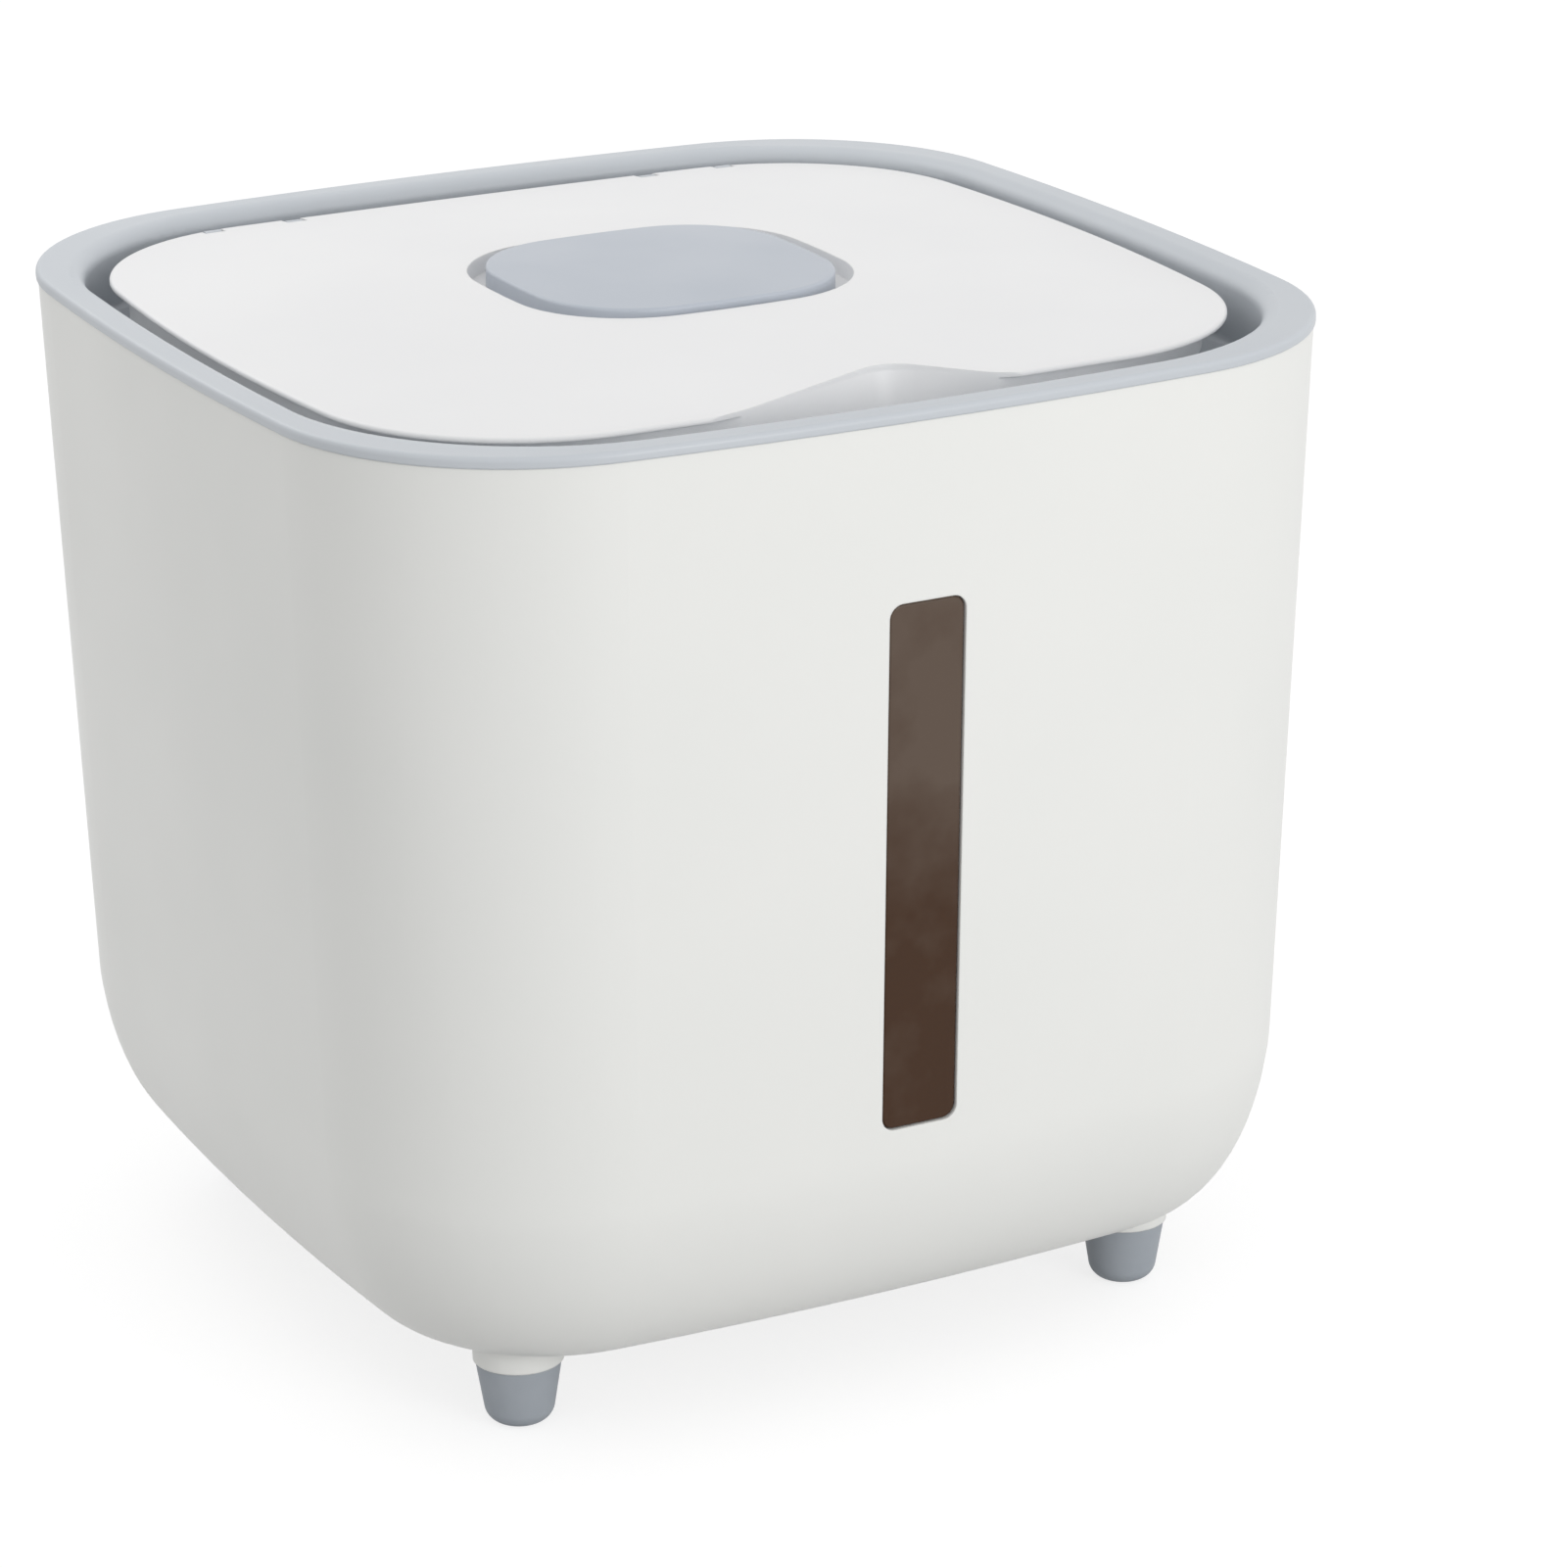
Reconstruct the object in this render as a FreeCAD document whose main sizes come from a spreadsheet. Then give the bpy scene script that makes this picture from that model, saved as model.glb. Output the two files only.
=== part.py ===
import FreeCAD, Part
import Sketcher
import math
import os
from collections import namedtuple
from types import SimpleNamespace

# Rice storage bin with a flip lid, in millimetres.
# The origin is on the floor under the middle of the bin. +Z is up, +X runs to the
# right along the front, and the front with the window and the scoop faces -Y.

# Driving dimensions
SIZES = {
    # Overall
    "body_width": 270.0,
    "body_depth": 266.6,
    "foot_tip_height": 16.3,
    "collar_height": 6.5,
    "body_height": 226.1,
    "ring_height": 2.7,
    "corner_radius": 62.4,
    "side_bulge_radius": 1065.0,
    "front_bulge_radius": 975.0,
    "overrun": 5.0,
    # Body shell
    "ring_overhang": 0.5,
    "wall": 2.6,
    "floor_thickness": 3.0,
    "draft_share": 0.031,
    "corner_taper": 3.8,
    "base_inset": 23.4,
    "base_rise": 47.0,
    # Window in the front wall
    "window_width": 20.0,
    "window_sill": 52.6,
    "window_head_gap": 42.7,
    "window_corner": 3.5,
    "window_recess": 0.5,
    "window_bevel": 0.4,
    "pane_clearance": 0.25,
    "pane_flange_width": 10.0,
    "pane_flange_thickness": 2.0,
    "gasket_thickness": 1.0,
    "gasket_width": 3.8,
    "gasket_seat_gap": 0.25,
    "stake_inset": 3.0,
    "stake_radius": 1.4,
    "stake_head_radius": 2.4,
    "stake_head_height": 1.2,
    "stake_end_inset": 13.4,
    # Feet
    "foot_inset": 50.5,
    "foot_inset_deep": 51.0,
    "collar_radius": 11.0,
    "collar_flare": 3.5,
    "collar_flare_sink": 1.0,
    "collar_margin": 0.3,
    "foot_tip_radius": 10.5,
    "foot_base_radius": 7.9,
    "foot_edge_radius": 4.5,
    "stem_radius": 3.6,
    "stem_height": 6.0,
    "stem_clearance": 0.2,
    # Ring around the mouth
    "ring_flat": 5.8,
    "ring_lip_radius": 4.0,
    "ring_edge_radius": 1.2,
    "ring_under_radius": 0.45,
    "ring_mouth_corner": 67.0,
    "tongue_depth": 7.0,
    "tongue_wall": 2.0,
    "tongue_clearance": 0.4,
    "well_wall": 2.0,
    "well_depth": 18.0,
    "well_floor": 2.0,
    "well_fillet": 2.0,
    "trough_side": 18.7,
    "trough_front": 38.0,
    "trough_back": 25.5,
    "mouth_corner": 46.0,
    "mouth_bulge_radius": 3000.0,
    "neck_wall": 2.5,
    "neck_top_drop": 9.5,
    # Hinge
    "hinge_back_gap": 13.1,
    "hinge_drop": 4.1,
    "hinge_inset": 58.2,
    "knuckle_width": 17.0,
    "knuckle_radius": 2.1,
    "ear_thickness": 4.5,
    "ear_gap": 0.5,
    "pin_radius": 1.0,
    "pin_clearance": 0.08,
    "pin_bevel": 0.25,
    # Lid shell
    "lid_side_gap": 5.0,
    "lid_front_gap": 13.8,
    "lid_back_gap": 10.0,
    "lid_corner": 53.0,
    "lid_side_bulge_radius": 630.0,
    "lid_front_bulge_radius": 2300.0,
    "lid_drop": 2.2,
    "lid_crown": 4.3,
    "lid_skin": 2.2,
    "lid_edge_radius": 0.8,
    "lip_thickness": 1.2,
    "skirt_inset": 1.8,
    "skirt_corner": 65.0,
    "skirt_wall": 2.2,
    "skirt_clearance": 6.0,
    "skirt_gap_end": 28.2,
    "skirt_gap_depth": 15.5,
    # Scoop in the front edge of the lid
    "scoop_left": 50.4,
    "scoop_left_radius": 60.0,
    "scoop_right": 40.4,
    "scoop_right_radius": 19.5,
    "scoop_peak": 8.3,
    "scoop_peak_radius": 12.5,
    "scoop_depth": 17.2,
    "scoop_draft": 2.5,
    # Recess, basket and cap in the middle of the lid
    "recess_width": 88.2,
    "recess_depth": 82.4,
    "recess_corner": 30.0,
    "recess_bulge_radius": 260.0,
    "recess_floor_gap": 0.4,
    "recess_floor": 2.0,
    "recess_wall": 2.0,
    "cap_gap": 4.8,
    "cap_gap_deep": 3.05,
    "cap_corner": 26.5,
    "cap_bulge_radius": 220.0,
    "cap_proud": 1.3,
    "cap_crown": 0.5,
    "cap_core_share": 0.3,
    "cap_wall": 2.0,
    "cap_edge_radius": 0.8,
    "cap_lift_gap": 0.3,
    "plug_depth": 6.0,
    "plug_wall": 1.5,
    "plug_clearance": 0.5,
    "basket_gap": 3.3,
    "basket_gap_deep": 3.15,
    "basket_corner": 16.0,
    "basket_height": 21.0,
    "basket_wall": 1.5,
    "basket_flange": 4.0,
    "basket_flange_thickness": 1.2,
    "basket_clearance": 0.4,
    "slot_width": 2.4,
    "slot_side_gap": 9.5,
    "slot_end_gap": 7.5,
    # Inner panel and seal of the lid
    "panel_gap": 0.2,
    "panel_thickness": 1.8,
    "panel_rim": 1.8,
    "panel_rib_depth": 2.2,
    "seal_width": 5.5,
    "seal_clearance": 0.2,
    "seal_gap": 0.3,
    "post_radius": 4.0,
    "post_tip_radius": 1.6,
    "post_clearance": 0.2,
    "post_head_radius": 3.0,
    "post_head_height": 1.0,
    "post_inset": 22.0,
    "post_inset_deep": 33.25,
}

# Shares of the base rounding at which the body shell has a section, as angles
BASE_ANGLES = [0.0, 18.0, 36.0, 54.0, 72.0, 90.0]
# How far in from the rim each section of the lid's crown lies, rim to recess
CROWN_SHARES = [0.0, 0.2, 0.45, 0.72, 1.0]
STAKE_ROW_SHARES = [-1.0, -0.5, 0.0, 0.5, 1.0]
POST_ROW_SHARES = [-1.0, 0.0, 1.0]
# How far in from the cap's edge each section of its crown lies
CAP_CROWN_SHARES = [0.0, 0.2, 0.45, 0.7]
SLOT_COUNT = 8
SLOT_CORNER_SHARE = 0.4
# How closely points have to agree when edges are looked up
LEVEL_TOLERANCE = 1e-4
OUTLINE_TOLERANCE = 1e-3
ZERO_TOLERANCE = 1e-9

doc = FreeCAD.newDocument("RiceBin")
sheet = doc.addObject("Spreadsheet::Sheet", "Sizes")


class Size:
    """A number together with the sheet expression that gives it."""

    def __init__(self, value, text):
        self.value = value
        self.text = text

    def __add__(self, other):
        other = as_size(other)
        return Size(self.value + other.value, f"({self.text} + {other.text})")

    def __sub__(self, other):
        other = as_size(other)
        return Size(self.value - other.value, f"({self.text} - {other.text})")

    def __mul__(self, other):
        other = as_size(other)
        return Size(self.value * other.value, f"({self.text} * {other.text})")

    def __truediv__(self, other):
        other = as_size(other)
        return Size(self.value / other.value, f"({self.text} / {other.text})")

    def __neg__(self):
        return Size(-self.value, f"(-1 * {self.text})")


def as_size(number):
    """A plain number as a Size, so that counts and shares can be mixed in."""
    if isinstance(number, Size):
        return number
    return Size(float(number), repr(float(number)))


def fill_sheet():
    """Write the driving dimensions and give each one as a Size of the same name."""
    named = {}
    for row, (alias, value) in enumerate(SIZES.items(), start=1):
        sheet.set(f"A{row}", alias)
        sheet.set(f"B{row}", str(value))
        sheet.setAlias(f"B{row}", alias)
        named[alias] = Size(value, f"Sizes.{alias}")
    doc.recompute()
    return SimpleNamespace(**named)


s = fill_sheet()
ZERO = as_size(0.0)

# Levels above the floor
body_bottom = s.foot_tip_height + s.collar_height
seam = body_bottom + s.body_height
ring_top = seam + s.ring_height
rim_level = ring_top - s.lid_drop
crown_level = rim_level + s.lid_crown
cap_level = crown_level + s.cap_proud
well_level = ring_top - s.well_depth
skirt_bottom = well_level + s.skirt_clearance
neck_level = ring_top - s.neck_top_drop
panel_level = rim_level - s.lid_skin - s.panel_gap
panel_bottom = panel_level - s.panel_thickness
recess_level = panel_level + s.recess_floor_gap + s.recess_floor
hinge_level = ring_top - s.hinge_drop
flange_level = recess_level + s.basket_flange_thickness
window_height = s.body_height - s.window_sill - s.window_head_gap
window_centre = body_bottom + s.window_sill + window_height / 2

Outline = namedtuple("Outline", "half_x half_y corner bulge_x bulge_y centre_y")


def inset(outline, by):
    """The outline a constant distance further in."""
    return Outline(
        outline.half_x - by,
        outline.half_y - by,
        outline.corner - by,
        outline.bulge_x - by,
        outline.bulge_y - by,
        outline.centre_y,
    )


def between(first, second, share):
    """The outline part of the way from the first one to the second one."""
    return Outline(*[a + (b - a) * share for a, b in zip(first, second)])


# Outlines in plan
ring_outline = Outline(
    s.body_width / 2,
    s.body_depth / 2,
    s.corner_radius,
    s.side_bulge_radius,
    s.front_bulge_radius,
    ZERO,
)
ring_mouth = inset(ring_outline, s.ring_flat)._replace(corner=s.ring_mouth_corner)
well_outline = inset(ring_mouth, s.ring_lip_radius)
mouth_front = well_outline.half_y - s.trough_front - s.neck_wall
mouth_back = well_outline.half_y - s.trough_back - s.neck_wall
mouth_outline = Outline(
    well_outline.half_x - s.trough_side - s.neck_wall,
    (mouth_front + mouth_back) / 2,
    s.mouth_corner,
    s.mouth_bulge_radius,
    s.mouth_bulge_radius,
    (mouth_back - mouth_front) / 2,
)
neck_outline = inset(mouth_outline, -s.neck_wall)
lid_front = well_outline.half_y - s.lid_front_gap
lid_back = well_outline.half_y - s.lid_back_gap
lip_outline = Outline(
    well_outline.half_x - s.lid_side_gap,
    (lid_front + lid_back) / 2,
    s.lid_corner,
    s.lid_side_bulge_radius,
    s.lid_front_bulge_radius,
    (lid_back - lid_front) / 2,
)
skirt_outline = inset(lip_outline, s.skirt_inset)._replace(corner=s.skirt_corner)
hinge_back = well_outline.half_y - s.hinge_back_gap
recess_outline = Outline(
    s.recess_width / 2,
    s.recess_depth / 2,
    s.recess_corner,
    s.recess_bulge_radius,
    s.recess_bulge_radius,
    lip_outline.centre_y,
)
cap_outline = recess_outline._replace(
    half_x=recess_outline.half_x - s.cap_gap,
    half_y=recess_outline.half_y - s.cap_gap_deep,
    corner=s.cap_corner,
    bulge_x=s.cap_bulge_radius,
    bulge_y=s.cap_bulge_radius,
)
basket_outline = recess_outline._replace(
    half_x=cap_outline.half_x - s.cap_wall - s.basket_gap - s.basket_flange,
    half_y=cap_outline.half_y - s.cap_wall - s.basket_gap_deep - s.basket_flange,
    corner=s.basket_corner,
)
seal_outer = inset(mouth_outline, -(s.neck_wall + s.seal_width) / 2)
seal_inner = inset(seal_outer, s.seal_width)
panel_outline = inset(seal_outer, -(s.seal_clearance + s.panel_rim))


def bind(obj, prop, size):
    obj.setExpression(prop, size.text)


def new_body(name):
    return doc.addObject("PartDesign::Body", name)


def origin_plane(body, role):
    """One of the body's own origin planes, such as XY_Plane."""
    for feature in body.Origin.OriginFeatures:
        if feature.Role == role:
            return feature
    raise RuntimeError(f"no {role} in {body.Name}")


def level_sketch(body, name, height, centre_y=ZERO):
    """A sketch parallel to the floor at a height, shifted along Y."""
    sketch = body.newObject("Sketcher::SketchObject", name)
    sketch.AttachmentSupport = [(origin_plane(body, "XY_Plane"), "")]
    sketch.MapMode = "FlatFace"
    bind(sketch, "AttachmentOffset.Base.z", height)
    bind(sketch, "AttachmentOffset.Base.y", centre_y)
    return sketch


def add_datum(sketch, kind, where, size):
    """One driving constraint whose value comes from the sheet."""
    index = sketch.addConstraint(Sketcher.Constraint(kind, *where, size.value))
    sketch.setExpression(f"Constraints[{index}]", size.text)


def corner_centre(outline):
    """Centre of the first corner arc, tangent inside to its two bulged sides."""
    side = FreeCAD.Vector(outline.half_x.value - outline.bulge_x.value, 0, 0)
    front = FreeCAD.Vector(0, outline.half_y.value - outline.bulge_y.value, 0)
    side_reach = outline.bulge_x.value - outline.corner.value
    front_reach = outline.bulge_y.value - outline.corner.value
    apart = (front - side).Length
    along = (side_reach**2 - front_reach**2 + apart**2) / (2 * apart)
    across = math.sqrt(side_reach**2 - along**2)
    direction = (front - side) / apart
    normal = FreeCAD.Vector(-direction.y, direction.x, 0)
    found = [side + direction * along + normal * across * sign for sign in (1, -1)]
    return max(found, key=lambda point: point.x + point.y), side, front


def arc_between(centre, radius, start, end):
    circle = Part.Circle(centre, FreeCAD.Vector(0, 0, 1), radius)
    first = math.atan2(start.y - centre.y, start.x - centre.x)
    last = math.atan2(end.y - centre.y, end.x - centre.x)
    return Part.ArcOfCircle(circle, first, last)


def draw_outline(sketch, outline):
    """A closed outline of four bulged sides and four corner arcs, all tangent."""
    corner, side, front = corner_centre(outline)
    low = side + (corner - side).normalize() * outline.bulge_x.value
    high = front + (corner - front).normalize() * outline.bulge_y.value
    quarter = [(1, 1), (-1, 1), (-1, -1), (1, -1)]

    def turned(point, signs):
        return FreeCAD.Vector(point.x * signs[0], point.y * signs[1], 0)

    arcs = []
    for index, signs in enumerate(quarter):
        starts_low = index % 2 == 0
        start = turned(low if starts_low else high, signs)
        end = turned(high if starts_low else low, signs)
        arcs.append(arc_between(turned(corner, signs), outline.corner.value, start, end))
        following = quarter[(index + 1) % 4]
        centre = turned(front if starts_low else side, signs)
        radius = outline.bulge_y.value if starts_low else outline.bulge_x.value
        arcs.append(arc_between(centre, radius, end, turned(high if starts_low else low, following)))
    sketch.addGeometry(arcs, False)
    joints = [Sketcher.Constraint("Tangent", i, 2, (i + 1) % 8, 1) for i in range(8)]
    equals = [Sketcher.Constraint("Equal", 0, i) for i in (2, 4, 6)]
    equals += [Sketcher.Constraint("Equal", 1, 5), Sketcher.Constraint("Equal", 3, 7)]
    on_axes = [Sketcher.Constraint("PointOnObject", i, 3, -2) for i in (1, 5)]
    on_axes += [Sketcher.Constraint("PointOnObject", i, 3, -1) for i in (3, 7)]
    sketch.addConstraint(joints + equals + on_axes)
    add_datum(sketch, "Radius", (0,), outline.corner)
    add_datum(sketch, "Radius", (1,), outline.bulge_y)
    add_datum(sketch, "Radius", (3,), outline.bulge_x)
    deep = outline.bulge_y - outline.half_y
    wide = outline.bulge_x - outline.half_x
    add_datum(sketch, "DistanceY", (1, 3, -1, 1), deep)
    add_datum(sketch, "DistanceY", (-1, 1, 5, 3), deep)
    add_datum(sketch, "DistanceX", (-1, 1, 3, 3), wide)
    add_datum(sketch, "DistanceX", (7, 3, -1, 1), wide)


def draw_rounded_rectangle(sketch, half_x, half_y, corner):
    """A rectangle about the sketch's origin with four equal corner arcs."""
    x, y, r = half_x.value, half_y.value, corner.value
    quarter = [(1, 1), (-1, 1), (-1, -1), (1, -1)]
    geometry = []
    for index, (sign_x, sign_y) in enumerate(quarter):
        centre = FreeCAD.Vector(sign_x * (x - r), sign_y * (y - r), 0)
        beside = FreeCAD.Vector(sign_x * x, centre.y, 0)
        above = FreeCAD.Vector(centre.x, sign_y * y, 0)
        start, end = (beside, above) if index % 2 == 0 else (above, beside)
        geometry.append(arc_between(centre, r, start, end))
        next_x, next_y = quarter[(index + 1) % 4]
        if index % 2 == 0:
            geometry.append(Part.LineSegment(end, FreeCAD.Vector(next_x * (x - r), end.y, 0)))
        else:
            geometry.append(Part.LineSegment(end, FreeCAD.Vector(end.x, next_y * (y - r), 0)))
    sketch.addGeometry(geometry, False)
    joints = [Sketcher.Constraint("Tangent", i, 2, (i + 1) % 8, 1) for i in range(8)]
    equals = [Sketcher.Constraint("Equal", 0, i) for i in (2, 4, 6)]
    flat = [Sketcher.Constraint("Horizontal", i) for i in (1, 5)]
    flat += [Sketcher.Constraint("Vertical", i) for i in (3, 7)]
    sketch.addConstraint(joints + equals + flat)
    add_datum(sketch, "Radius", (0,), corner)
    add_datum(sketch, "DistanceY", (-1, 1, 1, 1), half_y)
    add_datum(sketch, "DistanceY", (5, 1, -1, 1), half_y)
    add_datum(sketch, "DistanceX", (3, 1, -1, 1), half_x)
    add_datum(sketch, "DistanceX", (-1, 1, 7, 1), half_x)


def draw_circles(sketch, places, radius):
    """Equal circles at places in the sketch's own frame."""
    for index, (x, y) in enumerate(places):
        centre = FreeCAD.Vector(x.value, y.value, 0)
        sketch.addGeometry(Part.Circle(centre, FreeCAD.Vector(0, 0, 1), radius.value), False)
        place_point(sketch, index, 3, "DistanceX", x)
        place_point(sketch, index, 3, "DistanceY", y)
        if index == 0:
            add_datum(sketch, "Radius", (0,), radius)
        else:
            sketch.addConstraint(Sketcher.Constraint("Equal", 0, index))


def place_point(sketch, geometry, point, kind, size):
    """Hold a point at a signed distance from the sketch's origin."""
    if abs(size.value) < ZERO_TOLERANCE:
        axis = -2 if kind == "DistanceX" else -1
        sketch.addConstraint(Sketcher.Constraint("PointOnObject", geometry, point, axis))
    elif size.value > 0:
        add_datum(sketch, kind, (-1, 1, geometry, point), size)
    else:
        add_datum(sketch, kind, (geometry, point, -1, 1), -size)


def pad(body, name, outline, bottom, top):
    """Material inside an outline between two levels."""
    sketch = level_sketch(body, f"{name}_sketch", bottom, outline.centre_y)
    draw_outline(sketch, outline)
    feature = body.newObject("PartDesign::Pad", name)
    feature.Profile = sketch
    bind(feature, "Length", top - bottom)
    return feature


def pocket(body, name, outline, bottom, top):
    """Material taken away inside an outline between two levels."""
    sketch = level_sketch(body, f"{name}_sketch", top, outline.centre_y)
    draw_outline(sketch, outline)
    feature = body.newObject("PartDesign::Pocket", name)
    feature.Profile = sketch
    bind(feature, "Length", top - bottom)
    return feature


def plate(body, name, half_x, half_y, corner, bottom, top):
    """A rounded rectangular plate between two levels of the body's own frame."""
    sketch = level_sketch(body, f"{name}_sketch", bottom)
    draw_rounded_rectangle(sketch, half_x, half_y, corner)
    feature = body.newObject("PartDesign::Pad", name)
    feature.Profile = sketch
    bind(feature, "Length", top - bottom)
    return feature


def pad_circles(body, name, places, radius, bottom, top):
    """Equal round posts between two levels of the body's own frame."""
    sketch = level_sketch(body, f"{name}_sketch", bottom)
    draw_circles(sketch, places, radius)
    feature = body.newObject("PartDesign::Pad", name)
    feature.Profile = sketch
    bind(feature, "Length", top - bottom)
    return feature


def loft(body, name, sections, kind="PartDesign::AdditiveLoft", ruled=False):
    """A loft through outlines at several levels."""
    sketches = []
    for index, (height, outline) in enumerate(sections):
        sketch = level_sketch(body, f"{name}_section_{index}", height, outline.centre_y)
        draw_outline(sketch, outline)
        sketches.append(sketch)
    doc.recompute()
    feature = body.newObject(kind, name)
    feature.Profile = sketches[0]
    feature.Sections = sketches[1:]
    feature.Ruled = ruled
    return feature


def box(name, low, high):
    """A block between two corners, each given as three Sizes."""
    block = doc.addObject("Part::Box", name)
    for prop, a, b in zip(("Length", "Width", "Height"), low, high):
        bind(block, prop, b - a)
    for axis, a in zip("xyz", low):
        bind(block, f"Placement.Base.{axis}", a)
    return block


def cylinder(name, base, radius, height, axis="z"):
    """A cylinder from a base point, standing up or lying along X."""
    rod = doc.addObject("Part::Cylinder", name)
    if axis == "x":
        rod.Placement.Rotation = FreeCAD.Rotation(FreeCAD.Vector(0, 1, 0), 90)
    bind(rod, "Radius", radius)
    bind(rod, "Height", height)
    for letter, place in zip("xyz", base):
        bind(rod, f"Placement.Base.{letter}", place)
    return rod


def fuse(name, shapes):
    joined = doc.addObject("Part::MultiFuse", name)
    joined.Shapes = shapes
    joined.Refine = True
    return joined


def cut(name, base, tool):
    carved = doc.addObject("Part::Cut", name)
    carved.Base = base
    carved.Tool = tool
    return carved


def edges_of_outline(shape, height, outline):
    """Names of the edges at one level that run along an outline."""
    names = []
    corner, side, front = corner_centre(outline)
    for index, edge in enumerate(shape.Edges, start=1):
        points = edge.discretize(5)
        flat = all(abs(point.z - height) < LEVEL_TOLERANCE for point in points)
        if flat and all(on_outline(point, outline, corner, side, front) for point in points):
            names.append(f"Edge{index}")
    return names


def on_outline(point, outline, corner, side, front):
    """Whether a point lies on an outline, tested on its arcs' circles."""
    flat = FreeCAD.Vector(abs(point.x), abs(point.y - outline.centre_y.value), 0)
    circles = (
        (corner, outline.corner.value),
        (side, outline.bulge_x.value),
        (front, outline.bulge_y.value),
    )
    off = [abs((flat - centre).Length - radius) for centre, radius in circles]
    return min(off) < OUTLINE_TOLERANCE


def local_edges(feature, height, reach=math.inf):
    """Names of a feature's edges at one level of its body's own frame, within reach of its axis."""
    names = []
    for index, edge in enumerate(feature.Shape.Edges, start=1):
        points = edge.discretize(4)
        level = all(abs(point.z - height.value) < LEVEL_TOLERANCE for point in points)
        if level and all(math.hypot(point.x, point.y) < reach for point in points):
            names.append(f"Edge{index}")
    return names


def round_edges(body, name, base, edges, radius):
    """A fillet on named edges of the body's last feature."""
    if not edges:
        raise RuntimeError(f"no edges for {name}")
    feature = body.newObject("PartDesign::Fillet", name)
    feature.Base = (base, edges)
    bind(feature, "Radius", radius)
    return feature


# Body shell


def wall_outline(height, base_share, depth_in):
    """Outline of the drafted wall at a level, drawn in by a share of the base rounding."""
    below_seam = seam - height
    drawn_in = s.ring_overhang + s.draft_share * below_seam + s.base_inset * base_share
    outline = inset(ring_outline, drawn_in + depth_in)
    taper = s.corner_taper * below_seam / s.body_height
    keep = outline.corner + s.draft_share * below_seam
    return outline._replace(corner=keep - taper)


def shell_sections(floor_lift, depth_in):
    """Levels and outlines of the base rounding, from the flat bottom up to the wall."""
    rise = s.base_rise - floor_lift
    sections = []
    for angle in BASE_ANGLES:
        height = body_bottom + floor_lift + rise * (1 - math.cos(math.radians(angle)))
        base_share = 1 - math.sin(math.radians(angle))
        sections.append((height, wall_outline(height, base_share, depth_in)))
    return sections


def shell_solid(name, floor_lift, depth_in, top):
    """The solid inside the wall, its base rounding lofted and its wall drafted."""
    body = new_body(name)
    sections = shell_sections(floor_lift, depth_in)
    loft(body, f"{name}_base", sections)
    shoulder = sections[-1]
    loft(body, f"{name}_wall", [shoulder, (top, wall_outline(top, 0.0, depth_in))], ruled=True)
    return body


def foot_centres():
    """Name and centre of each foot."""
    half_x = ring_outline.half_x - s.foot_inset
    half_y = ring_outline.half_y - s.foot_inset_deep
    centres = []
    for depth_name, sign_y in (("front", -1), ("back", 1)):
        for side_name, sign_x in (("left", -1), ("right", 1)):
            centres.append((f"{depth_name}_{side_name}", (half_x * sign_x, half_y * sign_y)))
    return centres


def foot_collar(name, centre):
    """A round collar under the body with a hollow flare that ends inside the body's floor."""
    body = new_body(f"collar_{name}")
    below = s.foot_tip_height
    flare_top = body_bottom + s.collar_flare_sink
    root = body_bottom + s.floor_thickness / 2
    spread = s.collar_radius + s.collar_flare + s.collar_margin
    points = [
        (ZERO, below),
        (s.collar_radius, below),
        (s.collar_radius, flare_top),
        (spread, flare_top),
        (spread, root),
        (ZERO, root),
    ]
    turned = revolved(body, f"collar_turned_{name}", points, centre)
    doc.recompute()
    inner = local_edges(turned, flare_top, (s.collar_radius + s.collar_margin).value)
    round_edges(body, f"collar_flare_{name}", turned, inner, s.collar_flare)
    return body


def stake_places():
    """Where the stakes stand in the window's own frame."""
    half_x = s.window_width / 2 + s.pane_flange_width - s.stake_inset
    half_y = window_height / 2 + s.pane_flange_width - s.stake_end_inset
    return [(half_x * side, half_y * row) for side in (-1, 1) for row in STAKE_ROW_SHARES]


def window_body(name):
    """An empty body in the frame of the front wall: X along it, Y up it, Z out of it."""
    body = new_body(name)
    body.Placement.Rotation = FreeCAD.Rotation(FreeCAD.Vector(1, 0, 0), 90)
    body.setExpression("Placement.Rotation.Angle", "90 deg + atan(Sizes.draft_share)")
    bind(body, "Placement.Base.y", -wall_outline(window_centre, 0.0, ZERO).half_y)
    bind(body, "Placement.Base.z", window_centre)
    return body


def stake_stack():
    """Depth of the flange's inner face under the front wall's outer face."""
    return s.wall + s.gasket_seat_gap + s.gasket_thickness + s.pane_flange_thickness


def window_stakes():
    """The stakes that hold the pane, each with its flattened head."""
    body = window_body("window_stakes")
    body.AllowCompound = True
    end = -(stake_stack() + s.stake_head_height)
    root = -s.wall / 2
    pad_circles(body, "stake_stems", stake_places(), s.stake_radius, end, root)
    pad_circles(body, "stake_heads", stake_places(), s.stake_head_radius, end, -stake_stack())
    return body


def window_slot():
    """The tool that opens the front wall for the pane."""
    body = window_body("window_slot")
    half_x = s.window_width / 2
    half_y = window_height / 2
    top = s.overrun
    plate(body, "slot_prism", half_x, half_y, s.window_corner, -(s.wall + s.overrun), top)
    return body


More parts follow.
